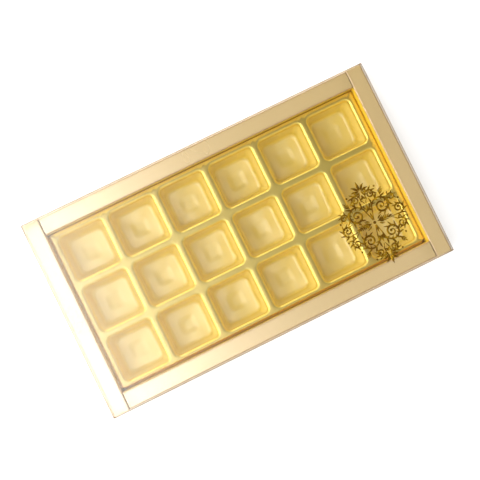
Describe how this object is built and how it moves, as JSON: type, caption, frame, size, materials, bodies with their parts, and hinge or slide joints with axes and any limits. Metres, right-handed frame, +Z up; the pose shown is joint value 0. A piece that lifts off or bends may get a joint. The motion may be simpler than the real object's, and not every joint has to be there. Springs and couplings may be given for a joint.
{
  "type": "chocolate box",
  "caption": "Shallow gold board presentation box with hollow folded rails, a formed gold insert with square cups for pralines and a clear lift-off lid.",
  "frame": {"origin": "centre of the underside of the tray floor", "axes": "+X along the length, +Y from front to back across the width, +Z up, the way the lid lifts off"},
  "size_m": [0.2216, 0.1236, 0.0273],
  "materials": {
    "gold_board": "board laminated with satin gold film",
    "gold_sheet": "vacuum-formed metallised gold sheet, semi-gloss",
    "clear_sheet": "clear folded film, glossy"
  },
  "bodies": {
    "tray": {"floor_panel": "gold_board", "corner_tabs": "gold_board", "front_wall": "gold_board", "front_rail": "gold_board", "front_inner_wall": "gold_board", "front_glue_flap": "gold_board", "back_wall": "gold_board", "back_rail": "gold_board", "back_inner_wall": "gold_board", "back_glue_flap": "gold_board", "left_wall": "gold_board", "left_rail": "gold_board", "left_inner_wall": "gold_board", "left_glue_flap": "gold_board", "right_wall": "gold_board", "right_rail": "gold_board", "right_inner_wall": "gold_board", "right_glue_flap": "gold_board"},
    "insert": {"insert": "gold_sheet"},
    "lid": {"lid_top": "clear_sheet", "lid_corner_tabs": "clear_sheet", "lid_front_skirt": "clear_sheet", "lid_back_skirt": "clear_sheet", "lid_left_skirt": "clear_sheet", "lid_right_skirt": "clear_sheet"}
  },
  "joints": [
    {"name": "insert_lift", "type": "slide", "parent": "tray", "child": "insert", "axis": [0, 0, 1], "range_m": [0, 0.035]},
    {"name": "lid_lift", "type": "slide", "parent": "insert", "child": "lid", "axis": [0, 0, 1], "range_m": [0, 0.04]}
  ]
}
